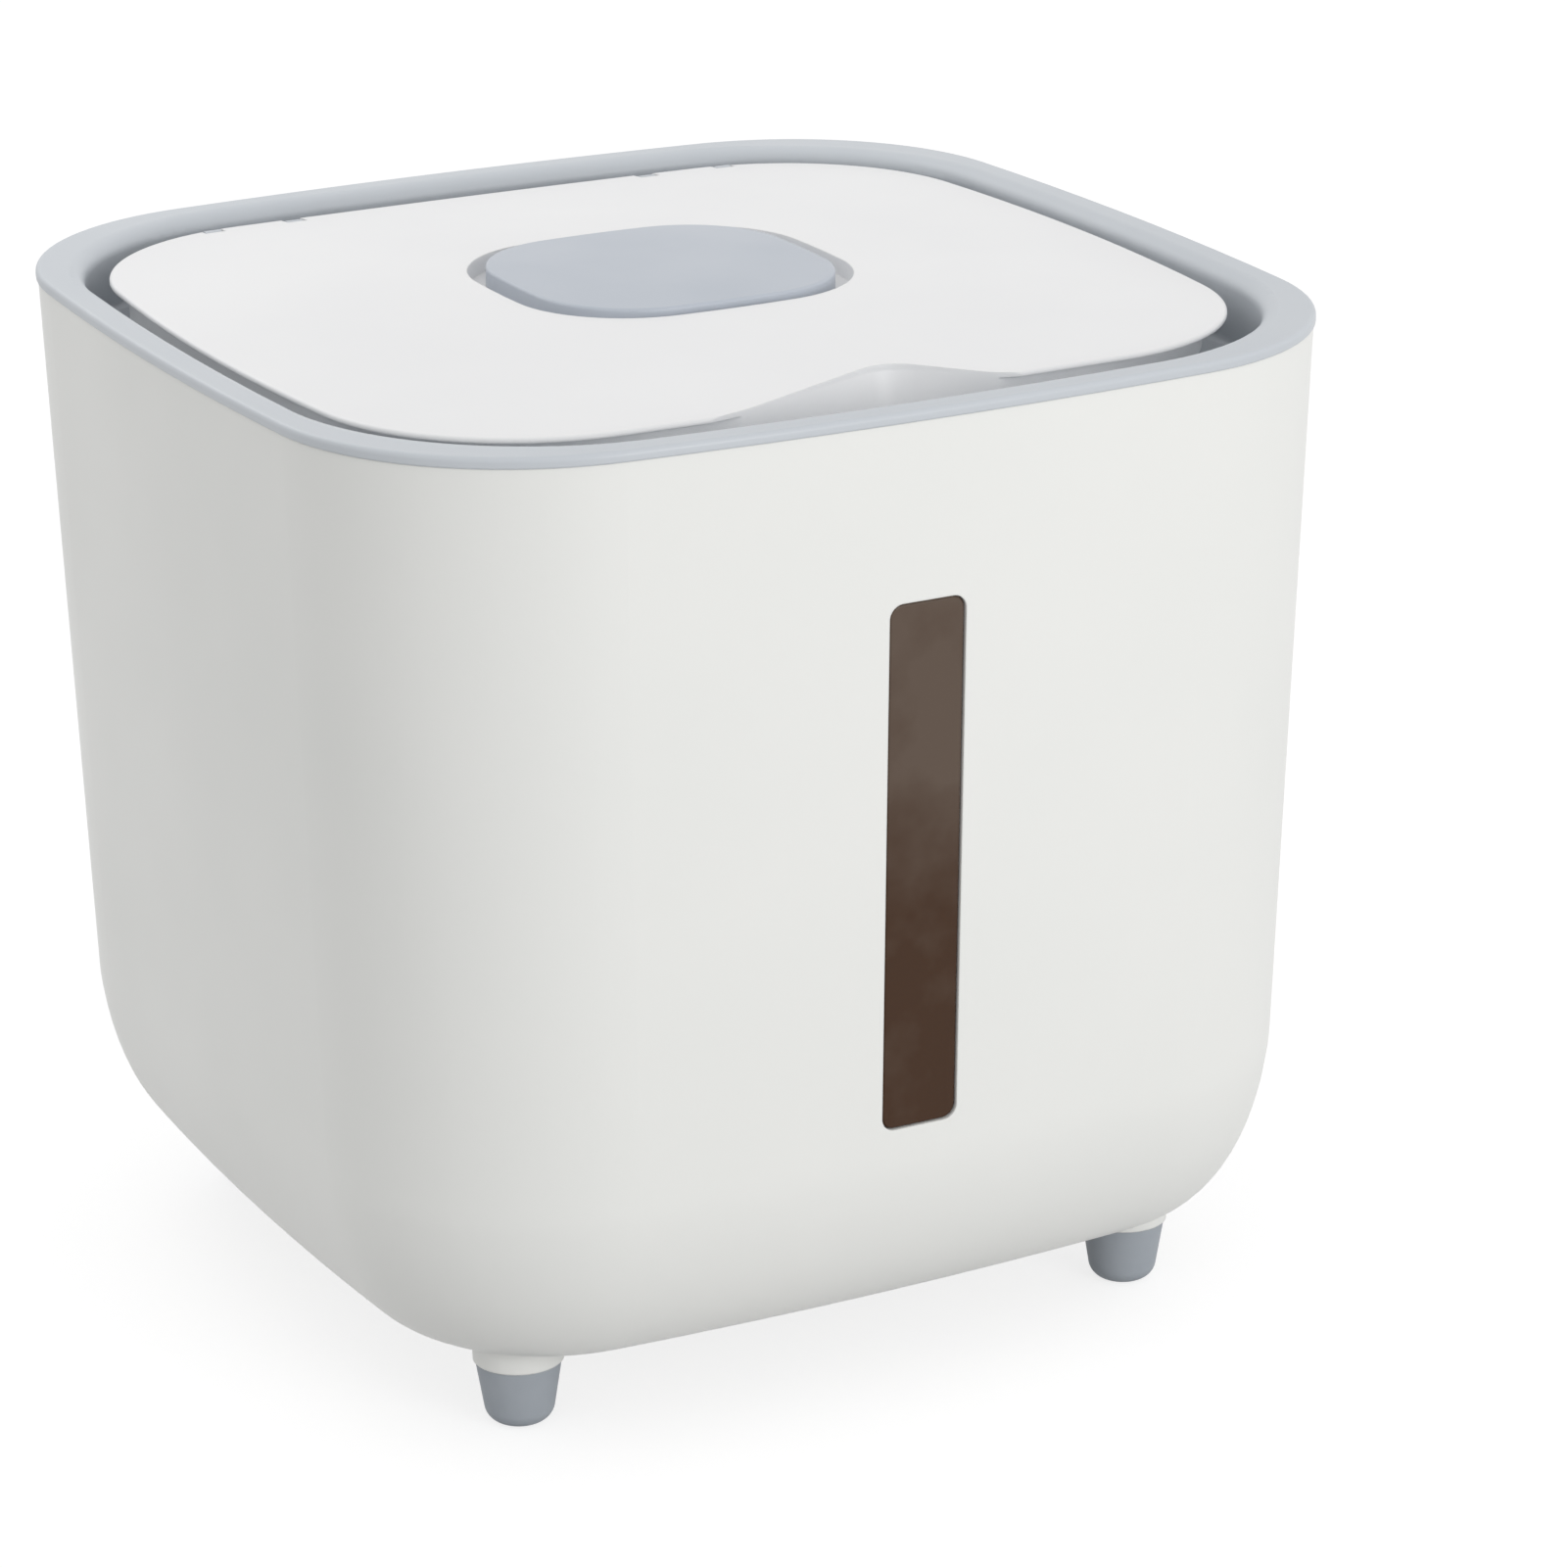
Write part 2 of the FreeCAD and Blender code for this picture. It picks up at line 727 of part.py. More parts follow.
def outer_body():
    """The white bin: drafted wall, rounded base, four foot collars and a window slot."""
    outside = shell_solid("shell_outside", ZERO, ZERO, seam)
    inside = shell_solid("shell_inside", s.floor_thickness, s.wall, seam + s.overrun)
    collars = []
    bores = []
    for name, centre in foot_centres():
        collars.append(foot_collar(name, centre))
        base = (*centre, s.foot_tip_height - s.overrun)
        bore_radius = s.stem_radius + s.stem_clearance
        reach = s.stem_height + s.stem_clearance + s.overrun
        bores.append(cylinder(f"stem_bore_{name}", base, bore_radius, reach))
    whole = fuse("shell_with_collars", [outside] + collars)
    tools = fuse("shell_tools", [inside, window_slot()] + bores)
    return fuse("outer_body", [cut("shell_cut", whole, tools), window_stakes()])


def window_pane():
    """The smoked pane: a boss that fills the slot and a flange behind the wall."""
    body = window_body("window_pane")
    half_x = s.window_width / 2
    half_y = window_height / 2
    depth = stake_stack()
    flange_x = half_x + s.pane_flange_width
    flange_y = half_y + s.pane_flange_width
    flange_corner = s.window_corner + s.pane_flange_width
    face = -(depth - s.pane_flange_thickness)
    plate(body, "pane_flange", flange_x, flange_y, flange_corner, -depth, face)
    boss = [half - s.pane_clearance for half in (half_x, half_y, s.window_corner)]
    plate(body, "pane_boss", *boss, face, -s.window_recess)
    holes = level_sketch(body, "stake_holes_sketch", face)
    draw_circles(holes, stake_places(), s.stake_radius + s.pane_clearance)
    drilled = body.newObject("PartDesign::Pocket", "stake_holes")
    drilled.Profile = holes
    bind(drilled, "Length", s.pane_flange_thickness)
    doc.recompute()
    front = local_edges(drilled, -s.window_recess)
    bevel = body.newObject("PartDesign::Chamfer", "pane_bevel")
    bevel.Base = (drilled, front)
    bind(bevel, "Size", s.window_bevel)
    return body


def window_gasket():
    """The flat silicone ring between the pane's flange and the front wall."""
    body = window_body("window_gasket")
    half_x = s.window_width / 2 + s.pane_clearance
    half_y = window_height / 2 + s.pane_clearance
    corner = s.window_corner + s.pane_clearance
    top = -(s.wall + s.gasket_seat_gap)
    bottom = top - s.gasket_thickness
    outer = [size + s.gasket_width for size in (half_x, half_y, corner)]
    plate(body, "gasket_plate", *outer, bottom, top)
    sketch = level_sketch(body, "gasket_hole_sketch", top)
    draw_rounded_rectangle(sketch, half_x, half_y, corner)
    hole = body.newObject("PartDesign::Pocket", "gasket_hole")
    hole.Profile = sketch
    bind(hole, "Length", s.gasket_thickness)
    return body


def revolved(body, name, points, centre):
    """A solid of revolution about a vertical axis from a list of radius and level pairs."""
    sketch = body.newObject("Sketcher::SketchObject", f"{name}_sketch")
    sketch.AttachmentSupport = [(origin_plane(body, "XZ_Plane"), "")]
    sketch.MapMode = "FlatFace"
    count = len(points)
    corners = [FreeCAD.Vector(radius.value, level.value, 0) for radius, level in points]
    for index, corner in enumerate(corners):
        sketch.addGeometry(Part.LineSegment(corner, corners[(index + 1) % count]), False)
    for index in range(count):
        following = (index + 1) % count
        sketch.addConstraint(Sketcher.Constraint("Coincident", index, 2, following, 1))
    for index, (radius, level) in enumerate(points):
        place_point(sketch, index, 1, "DistanceX", radius)
        place_point(sketch, index, 1, "DistanceY", level)
    feature = body.newObject("PartDesign::Revolution", name)
    feature.Profile = sketch
    feature.ReferenceAxis = (sketch, ["V_Axis"])
    feature.Angle = 360
    for axis, place in zip("xy", centre):
        bind(body, f"Placement.Base.{axis}", place)
    return feature


def foot_tip(name, centre):
    """One grey rubber foot: a tapered tip with a stem that plugs into its collar."""
    body = new_body(f"foot_tip_{name}")
    top = s.foot_tip_height
    points = [
        (ZERO, ZERO),
        (s.foot_base_radius, ZERO),
        (s.foot_tip_radius, top),
        (s.stem_radius, top),
        (s.stem_radius, top + s.stem_height),
        (ZERO, top + s.stem_height),
    ]
    turned = revolved(body, f"tip_{name}", points, centre)
    doc.recompute()
    round_edges(body, f"tip_round_{name}", turned, local_edges(turned, ZERO), s.foot_edge_radius)
    return body


# Ring around the mouth


def hinge_sides():
    """Name and middle of each hinge along X."""
    middle = lip_outline.half_x - s.hinge_inset
    return [("left", -middle), ("right", middle)]


def ear_starts(side_name, middle):
    """Name and lower X face of each of the two ears of one hinge."""
    half = s.knuckle_width / 2 + s.ear_gap
    return [(f"{side_name}_a", middle - half - s.ear_thickness), (f"{side_name}_b", middle + half)]


def ear_blocks(side_name, middle):
    """The two ears of one hinge: a round eye on a web that rises from the well."""
    pieces = []
    for name, start in ear_starts(side_name, middle):
        eye_base = (start, hinge_back, hinge_level)
        pieces.append(cylinder(f"ear_eye_{name}", eye_base, s.knuckle_radius, s.ear_thickness, "x"))
        low = (start, hinge_back - s.knuckle_radius, well_level - s.well_floor / 2)
        high = (start + s.ear_thickness, hinge_back + s.knuckle_radius, hinge_level)
        pieces.append(box(f"ear_web_{name}", low, high))
    return pieces


def pin_length():
    return s.knuckle_width + (s.ear_gap + s.ear_thickness) * 2


def pin_bore(name, middle, reach):
    """The hole that a hinge pin runs in, reaching a distance past the knuckle's two ends."""
    length = s.knuckle_width + reach * 2
    base = (middle - length / 2, hinge_back, hinge_level)
    return cylinder(name, base, s.pin_radius + s.pin_clearance, length, "x")


def rim_ring():
    """The grey ring: top plate, tongue in the body, well around the lid, neck and ears."""
    body = new_body("ring_moulding")
    tongue_bottom = seam - s.tongue_depth
    tongue = inset(wall_outline(seam, 0.0, s.wall), s.tongue_clearance)
    well_bottom = well_level - s.well_floor
    pad(body, "ring_plate", ring_outline, seam, ring_top)
    pad(body, "ring_tongue", tongue, tongue_bottom, seam)
    pocket(body, "ring_tongue_hollow", inset(tongue, s.tongue_wall), tongue_bottom, seam)
    pad(body, "ring_well", inset(well_outline, -s.well_wall), well_bottom, ring_top)
    pocket(body, "ring_well_hollow", well_outline, well_level, ring_top)
    pad(body, "ring_neck", neck_outline, well_bottom, neck_level)
    mouth = pocket(body, "ring_mouth", mouth_outline, well_bottom, neck_level)
    doc.recompute()
    lip = edges_of_outline(mouth.Shape, ring_top.value, well_outline)
    rounded = round_edges(body, "ring_lip_round", mouth, lip, s.ring_lip_radius)
    doc.recompute()
    edge = edges_of_outline(rounded.Shape, ring_top.value, ring_outline)
    rounded = round_edges(body, "ring_edge_round", rounded, edge, s.ring_edge_radius)
    doc.recompute()
    foot = edges_of_outline(rounded.Shape, well_level.value, well_outline)
    rounded = round_edges(body, "ring_well_round", rounded, foot, s.well_fillet)
    doc.recompute()
    under = edges_of_outline(rounded.Shape, seam.value, ring_outline)
    round_edges(body, "ring_under_round", rounded, under, s.ring_under_radius)
    ears = []
    bores = []
    reach = s.ear_gap + s.ear_thickness + s.overrun
    for side_name, middle in hinge_sides():
        ears += ear_blocks(side_name, middle)
        bores.append(pin_bore(f"ear_bore_{side_name}", middle, reach))
    return cut("rim_ring", fuse("ring_with_ears", [body] + ears), fuse("ring_pin_bores", bores))


# Lid


def crown_sections(rim, middle, rim_height, rise, shares):
    """Levels and outlines of a crowned top, from its rim towards the middle."""
    whole = as_size(1.0)
    middle_share = middle.half_x / rim.half_x
    sections = []
    for share in shares:
        near = whole - (whole - middle_share) * share
        height_share = (whole - near * near) / (whole - middle_share * middle_share)
        sections.append((rim_height + rise * height_share, between(rim, middle, share)))
    return sections


def lid_block():
    """The lid's outside: lip, crown and skirt as one solid."""
    body = new_body("lid_block")
    under = rim_level - s.lip_thickness
    pad(body, "lid_lip", lip_outline, under, rim_level)
    pad(body, "lid_skirt", skirt_outline, skirt_bottom, under)
    sections = crown_sections(lip_outline, recess_outline, rim_level, s.lid_crown, CROWN_SHARES)
    crown = loft(body, "lid_crown_loft", sections)
    doc.recompute()
    edge = edges_of_outline(crown.Shape, rim_level.value, lip_outline)
    round_edges(body, "lid_edge_round", crown, edge, s.lid_edge_radius)
    return body


def lid_hollow():
    """The space under the lid's skin and inside its skirt."""
    body = new_body("lid_hollow")
    under = rim_level - s.lid_skin
    inside = inset(skirt_outline, s.skirt_wall)
    pad(body, "hollow_skirt", inside, skirt_bottom - s.overrun, under)
    sections = crown_sections(inside, recess_outline, under, s.lid_crown, CROWN_SHARES)
    loft(body, "hollow_crown", sections)
    return body


def flank_ends(foot_centre, foot_radius, peak_centre, peak_radius, side):
    """Where a straight flank leaves the arc at the wave's foot and meets the arc at its peak."""
    across = peak_centre - foot_centre
    turn = math.acos((foot_radius + peak_radius).value / across.Length)
    angle = math.atan2(across.y, across.x) + turn * side
    normal = FreeCAD.Vector(math.cos(angle), math.sin(angle), 0)
    return foot_centre + normal * foot_radius.value, peak_centre - normal * peak_radius.value


def draw_wave(sketch, depth, offset):
    """The scoop's outline: a skewed wave of arcs and straight flanks, closed before the lid."""
    foot_y = offset - lid_front
    front_y = -(lid_front + s.overrun)
    peak_radius = s.scoop_peak_radius + offset
    peak_centre_y = foot_y + depth - peak_radius
    peak = FreeCAD.Vector(s.scoop_peak.value, peak_centre_y.value, 0)
    low_y = FreeCAD.Vector(0, foot_y.value, 0)
    feet = []
    for side, reach, round_size in (
        (-1, s.scoop_left, s.scoop_left_radius),
        (1, s.scoop_right, s.scoop_right_radius),
    ):
        radius = round_size - offset
        foot_x = reach * side
        foot = low_y + FreeCAD.Vector(foot_x.value, 0, 0)
        centre = foot + FreeCAD.Vector(0, radius.value, 0)
        bend, shoulder = flank_ends(centre, radius, peak, peak_radius, side)
        corner = FreeCAD.Vector(foot.x, front_y.value, 0)
        feet.append((foot_x, radius, foot, centre, bend, shoulder, corner))
    left_x, left_radius, left_foot, left_centre, left_bend, left_shoulder, left_corner = feet[0]
    right_x, right_radius, right_foot, right_centre, right_bend, right_shoulder, right_corner = feet[1]
    sketch.addGeometry(
        [
            arc_between(left_centre, left_radius.value, left_foot, left_bend),
            Part.LineSegment(left_bend, left_shoulder),
            arc_between(peak, peak_radius.value, right_shoulder, left_shoulder),
            Part.LineSegment(right_shoulder, right_bend),
            arc_between(right_centre, right_radius.value, right_bend, right_foot),
            Part.LineSegment(right_foot, right_corner),
            Part.LineSegment(right_corner, left_corner),
            Part.LineSegment(left_corner, left_foot),
        ],
        False,
    )
    tangents = [(0, 2, 1, 1), (1, 2, 2, 2), (2, 1, 3, 1), (3, 2, 4, 1)]
    touching = [(4, 2, 5, 1), (5, 2, 6, 1), (6, 2, 7, 1), (7, 2, 0, 1)]
    upright = [(5,), (7,), (0, 1, 0, 3), (4, 2, 4, 3)]
    held = [Sketcher.Constraint("Tangent", *pair) for pair in tangents]
    held += [Sketcher.Constraint("Coincident", *pair) for pair in touching]
    held += [Sketcher.Constraint("Vertical", *pair) for pair in upright]
    held.append(Sketcher.Constraint("Horizontal", 6))
    sketch.addConstraint(held)
    places = [(0, 1, left_x, foot_y), (4, 2, right_x, foot_y), (2, 3, s.scoop_peak, peak_centre_y)]
    for geometry, point, x, y in places:
        place_point(sketch, geometry, point, "DistanceX", x)
        place_point(sketch, geometry, point, "DistanceY", y)
    place_point(sketch, 6, 1, "DistanceY", front_y)
    for geometry, radius in ((0, left_radius), (2, peak_radius), (4, right_radius)):
        add_datum(sketch, "Radius", (geometry,), radius)


def scoop_tool(name, offset):
    """The scoop as a solid: upright above the rim and drafted below it."""
    body = new_body(name)
    top = level_sketch(body, f"{name}_top", rim_level)
    draw_wave(top, s.scoop_depth, offset)
    foot = level_sketch(body, f"{name}_foot", skirt_bottom)
    draw_wave(foot, s.scoop_depth - s.scoop_draft, offset)
    doc.recompute()
    wall = body.newObject("PartDesign::AdditiveLoft", f"{name}_wall")
    wall.Profile = top
    wall.Sections = [foot]
    wall.Ruled = True
    above = body.newObject("PartDesign::Pad", f"{name}_above")
    above.Profile = top
    bind(above, "Length", s.lid_crown + s.overrun)
    below = body.newObject("PartDesign::Pad", f"{name}_below")
    below.Profile = foot
    below.Reversed = True
    bind(below, "Length", s.overrun)
    return body


def knuckle(side_name, middle):
    """One hinge knuckle under the lid's back edge."""
    start = middle - s.knuckle_width / 2
    radius = s.knuckle_radius
    base = (start, hinge_back, hinge_level)
    eye = cylinder(f"knuckle_eye_{side_name}", base, radius, s.knuckle_width, "x")
    low = (start, hinge_back - radius, hinge_level)
    high = (start + s.knuckle_width, hinge_back + radius, rim_level - s.lid_skin / 2)
    return [eye, box(f"knuckle_web_{side_name}", low, high)]


def ear_notches(side_name, middle):
    """The notches in the lid's back edge that two ears of the ring stand in."""
    notches = []
    for name, start in ear_starts(side_name, middle):
        low_y = hinge_back - s.knuckle_radius - s.ear_gap
        low = (start - s.ear_gap, low_y, skirt_bottom)
        high = (start + s.ear_thickness + s.ear_gap, lid_back + s.overrun, crown_level)
        notches.append(box(f"ear_notch_{name}", low, high))
    return notches


def post_places():
    """Centres of the posts that hold the inner panel."""
    half_x = panel_outline.half_x - s.post_inset
    half_y = panel_outline.half_y - s.post_inset_deep
    rows = [panel_outline.centre_y + half_y * row for row in POST_ROW_SHARES]
    return [(half_x * side, y) for side in (-1, 1) for y in rows]


def lid_posts():
    """Posts from the lid's skin to the inner panel, each with a tip and a flattened head."""
    body = new_body("lid_posts")
    body.AllowCompound = True
    places = post_places()
    end = panel_bottom - s.post_head_height
    pad_circles(body, "post_tips", places, s.post_tip_radius, end, panel_level)
    pad_circles(body, "post_heads", places, s.post_head_radius, end, panel_bottom)
    pad_circles(body, "post_stems", places, s.post_radius, panel_level, rim_level + s.lid_skin / 2)
    return body


def recess_cup():
    """Wall and floor of the recess that holds the cap."""
    body = new_body("recess_cup")
    outside = inset(recess_outline, -s.recess_wall)
    pad(body, "recess_block", outside, recess_level - s.recess_floor, crown_level - s.lid_skin / 2)
    return body


def recess_tool():
    """What is cut out of the recess: its inside and the basket's hole in its floor."""
    body = new_body("recess_tool")
    top = crown_level + s.overrun
    hole = inset(basket_outline, -s.basket_clearance)
    pad(body, "recess_inside", recess_outline, recess_level, top)
    pad(body, "recess_hole", hole, recess_level - s.recess_floor - s.overrun, recess_level)
    return body


def lid_top():
    """The white lid: crowned skin with a scoop, a skirt, knuckles, posts and a recess."""
    outside = cut("lid_scooped", lid_block(), scoop_tool("scoop_outside", ZERO))
    inside = cut("hollow_scooped", lid_hollow(), scoop_tool("scoop_inside", s.skirt_wall))
    shell = cut("lid_shell", outside, inside)
    gap_x = lip_outline.half_x - s.skirt_gap_end
    gap_low = (-gap_x, lid_back - s.skirt_gap_depth, skirt_bottom - s.overrun)
    gap_high = (gap_x, lid_back + s.overrun, rim_level - s.lid_skin)
    open_back = cut("lid_open_back", shell, box("skirt_gap", gap_low, gap_high))
    parts = [open_back, recess_cup(), lid_posts()]
    tools = [recess_tool()]
    for side_name, middle in hinge_sides():
        parts += knuckle(side_name, middle)
        tools += ear_notches(side_name, middle)
        tools.append(pin_bore(f"knuckle_bore_{side_name}", middle, s.ear_gap))
    return cut("lid_top", fuse("lid_parts", parts), fuse("lid_tools", tools))


def hinge_pin(side_name, middle):
    """One steel hinge pin with bevelled ends, lying along X."""
    body = new_body(f"hinge_pin_{side_name}")
    length = pin_length()
    bevel = s.pin_bevel
    points = [
        (ZERO, ZERO),
        (s.pin_radius - bevel, ZERO),
        (s.pin_radius, bevel),
        (s.pin_radius, length - bevel),
        (s.pin_radius - bevel, length),
        (ZERO, length),
    ]
    body.Placement.Rotation = FreeCAD.Rotation(FreeCAD.Vector(0, 1, 0), 90)
    revolved(body, f"pin_{side_name}", points, (middle - length / 2, hinge_back))
    bind(body, "Placement.Base.z", hinge_level)
    return body


def lid_inner_panel():
    """The panel under the lid, with the channel that holds the seal."""
    body = new_body("lid_inner_panel")
    rib_bottom = panel_bottom - s.panel_rib_depth
    groove_outer = inset(seal_outer, -s.seal_clearance)
    groove_inner = inset(seal_inner, s.seal_clearance)
    pad(body, "panel_block", panel_outline, rib_bottom, panel_level)
    pocket(body, "panel_groove", groove_outer, rib_bottom, panel_bottom)
    pad(body, "panel_inner_rib", groove_inner, rib_bottom, panel_bottom)
    pocket(body, "panel_field", inset(groove_inner, s.panel_rim), rib_bottom, panel_bottom)
    hole = inset(basket_outline, -s.basket_clearance)
    pocket(body, "panel_hole", hole, panel_bottom, panel_level)
    holes = level_sketch(body, "post_holes_sketch", panel_level)
    draw_circles(holes, post_places(), s.post_tip_radius + s.post_clearance)
    drilled = body.newObject("PartDesign::Pocket", "post_holes")
    drilled.Profile = holes
    bind(drilled, "Length", s.panel_thickness)
    return body


def lid_seal():
    """The silicone ring that closes on the neck."""
    body = new_body("lid_seal")
    bottom = neck_level + s.seal_gap
    pad(body, "seal_block", seal_outer, bottom, panel_bottom)
    pocket(body, "seal_hole", seal_inner, bottom, panel_bottom)
    return body


def desiccant_basket():
    """The open basket in the middle of the lid, with a slotted floor."""
    body = new_body("desiccant_basket")
    bottom = flange_level - s.basket_height
    floor = bottom + s.basket_wall
    inside = inset(basket_outline, s.basket_wall)
    pad(body, "basket_block", basket_outline, bottom, recess_level)
    pad(body, "basket_flange", inset(basket_outline, -s.basket_flange), recess_level, flange_level)
    pocket(body, "basket_inside", inside, floor, flange_level)
    sketch = level_sketch(body, "slot_sketch", floor, basket_outline.centre_y)
    row_half = inside.half_x - s.slot_end_gap
    bind(sketch, "AttachmentOffset.Base.x", -row_half)
    half = s.slot_width / 2
    slot_half = inside.half_y - s.slot_side_gap
    draw_rounded_rectangle(sketch, half, slot_half, s.slot_width * SLOT_CORNER_SHARE)
    slot = body.newObject("PartDesign::Pocket", "floor_slot")
    slot.Profile = sketch
    bind(slot, "Length", s.basket_wall)
    doc.recompute()
    row = body.newObject("PartDesign::LinearPattern", "floor_slots")
    row.Originals = [slot]
    row.Direction = (sketch, ["H_Axis"])
    row.Occurrences = SLOT_COUNT
    bind(row, "Length", row_half * 2)
    body.Tip = row
    return body


def desiccant_cap():
    """The grey cap over the basket: crowned top, edge wall and a plug."""
    body = new_body("desiccant_cap")
    bottom = recess_level + s.cap_lift_gap
    under = cap_level - s.cap_wall
    pad(body, "cap_block", cap_outline, bottom, cap_level)
    pocket(body, "cap_hollow", inset(cap_outline, s.cap_wall), bottom, under)
    plug = inset(basket_outline, s.basket_wall + s.plug_clearance)
    plug_bottom = flange_level - s.plug_depth
    pad(body, "cap_plug", plug, plug_bottom, under)
    hollow = pocket(body, "cap_plug_hollow", inset(plug, s.plug_wall), plug_bottom, under)
    doc.recompute()
    edge = edges_of_outline(hollow.Shape, cap_level.value, cap_outline)
    round_edges(body, "cap_edge_round", hollow, edge, s.cap_edge_radius)
    crown_rim = inset(cap_outline, s.cap_edge_radius)
    core = Outline(*[size * s.cap_core_share for size in crown_rim[:5]], cap_outline.centre_y)
    sections = crown_sections(crown_rim, core, cap_level, s.cap_crown, CAP_CROWN_SHARES)
    loft(body, "cap_crown_loft", sections)
    return body


def build():
    """Every sub-part of the bin, in the order it is put together."""
    parts = [outer_body(), window_gasket(), window_pane()]
    parts += [foot_tip(name, centre) for name, centre in foot_centres()]
    parts += [rim_ring(), lid_top()]
    parts += [hinge_pin(side_name, middle) for side_name, middle in hinge_sides()]
    parts += [lid_inner_panel(), lid_seal(), desiccant_basket(), desiccant_cap()]
    return parts


def check(parts):
    """Stop before anything is written if an object failed or a shape is bad."""
    for obj in doc.Objects:
        if "Invalid" in obj.State or "Error" in obj.State:
            raise RuntimeError(f"{obj.Name} did not recompute: {obj.State}")
    for part in parts:
        if part.Shape.isNull() or not part.Shape.isValid() or not part.Shape.Solids:
            raise RuntimeError(f"{part.Name} has no valid solid")


def write(parts):
    """One STEP file for each sub-part."""
    os.makedirs("parts", exist_ok=True)
    for part in parts:
        part.Label = part.Name
        part.Shape.exportStep(f"parts/{part.Label}.step")
        print(part.Label, len(part.Shape.Solids), round(part.Shape.Volume, 1))


sub_parts = build()
doc.recompute()
check(sub_parts)
write(sub_parts)
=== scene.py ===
import math

import bpy
from mathutils import Matrix, Vector


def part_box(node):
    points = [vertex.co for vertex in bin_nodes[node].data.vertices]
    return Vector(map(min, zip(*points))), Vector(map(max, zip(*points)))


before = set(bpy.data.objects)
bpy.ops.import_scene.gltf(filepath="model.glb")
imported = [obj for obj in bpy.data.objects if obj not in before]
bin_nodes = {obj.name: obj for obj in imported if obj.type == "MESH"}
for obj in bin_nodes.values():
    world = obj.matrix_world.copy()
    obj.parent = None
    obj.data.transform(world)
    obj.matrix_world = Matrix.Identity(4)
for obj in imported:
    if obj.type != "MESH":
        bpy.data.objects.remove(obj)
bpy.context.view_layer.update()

WHITE = (1, 1, 1, 1)
MM_PER_METRE = 1000.0

# The sRGB curve has a straight foot and goes on as a power.
SRGB_FOOT_END = 0.04045
SRGB_FOOT_SLOPE = 12.92
SRGB_OFFSET = 0.055
SRGB_POWER = 2.4

# A noise pattern's values lie mostly between these two.
NOISE_LOW = 0.3
NOISE_HIGH = 0.7
CLOUD_DETAIL = 3.0
GRAIN_DETAIL = 2.0
EDGE_SAMPLES = 6
GLOSS_DRIFT = 0.04

# Helpers for the materials


def linear(hex_colour):
    """A written sRGB colour as the linear colour that a shader socket takes."""
    colour = []
    for start in (1, 3, 5):
        share = int(hex_colour[start:start + 2], 16) / 255
        if share <= SRGB_FOOT_END:
            colour.append(share / SRGB_FOOT_SLOPE)
        else:
            colour.append(((share + SRGB_OFFSET) / (1 + SRGB_OFFSET)) ** SRGB_POWER)
    return colour + [1.0]


def add(tree, kind, settings=None, sockets=None, links=None):
    """One node with its settings, its constant sockets and its incoming links."""
    made = tree.nodes.new(kind)
    for name, value in (settings or {}).items():
        setattr(made, name, value)
    for name, value in (sockets or {}).items():
        made.inputs[name].default_value = value
    for name, source in (links or {}).items():
        tree.links.new(source, made.inputs[name])
    return made


def new_material(name):
    """An empty material and its node tree."""
    material = bpy.data.materials.new(name)
    material.use_nodes = True
    material.node_tree.nodes.clear()
    return material, material.node_tree


def noise(tree, place, apart_mm, detail):
    """A cloud pattern whose features are this many millimetres apart."""
    sockets = {"Scale": MM_PER_METRE / apart_mm, "Detail": detail}
    return add(tree, "ShaderNodeTexNoise", {}, sockets, {"Vector": place}).outputs["Fac"]


def spread(tree, value, low, high, from_low=NOISE_LOW, from_high=NOISE_HIGH):
    """A pattern's value carried over to a range of its own."""
    limits = {"From Min": from_low, "From Max": from_high, "To Min": low, "To Max": high}
    return add(tree, "ShaderNodeMapRange", {}, limits, {"Value": value}).outputs["Result"]


def between(tree, first_tone, second_tone, share):
    """A colour that goes from the first tone to the second with the share."""
    tones = {"A": linear(first_tone), "B": linear(second_tone)}
    return add(tree, "ShaderNodeMix", {"data_type": "RGBA"}, tones, {"Factor": share}).outputs["Result"]


def skin_normal(tree, place, grain_mm, grain_height_mm, edge_mm):
    """The surface's fine grain, on edges that are rounded by the mould."""
    grain = noise(tree, place, grain_mm, GRAIN_DETAIL)
    edge = add(tree, "ShaderNodeBevel", {"samples": EDGE_SAMPLES}, {"Radius": edge_mm / MM_PER_METRE})
    sockets = {"Strength": 1.0, "Distance": grain_height_mm / MM_PER_METRE}
    links = {"Height": grain, "Normal": edge.outputs["Normal"]}
    return add(tree, "ShaderNodeBump", {}, sockets, links).outputs["Normal"]


def finish_surface(tree, colour, roughness, normal, constants):
    """The surface's shader and the material's output."""
    links = {"Base Color": colour, "Roughness": roughness, "Normal": normal}
    surface = add(tree, "ShaderNodeBsdfPrincipled", {}, constants, links)
    add(tree, "ShaderNodeOutputMaterial", {}, {}, {"Surface": surface.outputs["BSDF"]})


def moulded(name, tones, roughness, cloud_mm, grain_mm, grain_height_mm, edge_mm, constants):
    """A moulded skin: faint clouds in its colour, uneven gloss and the fine grain of its mould."""
    material, tree = new_material(name)
    place = add(tree, "ShaderNodeTexCoord").outputs["Object"]
    cloud = noise(tree, place, cloud_mm, CLOUD_DETAIL)
    colour = between(tree, *tones, cloud)
    gloss = spread(tree, cloud, roughness - GLOSS_DRIFT, roughness + GLOSS_DRIFT)
    normal = skin_normal(tree, place, grain_mm, grain_height_mm, edge_mm)
    finish_surface(tree, colour, gloss, normal, constants)
    return material


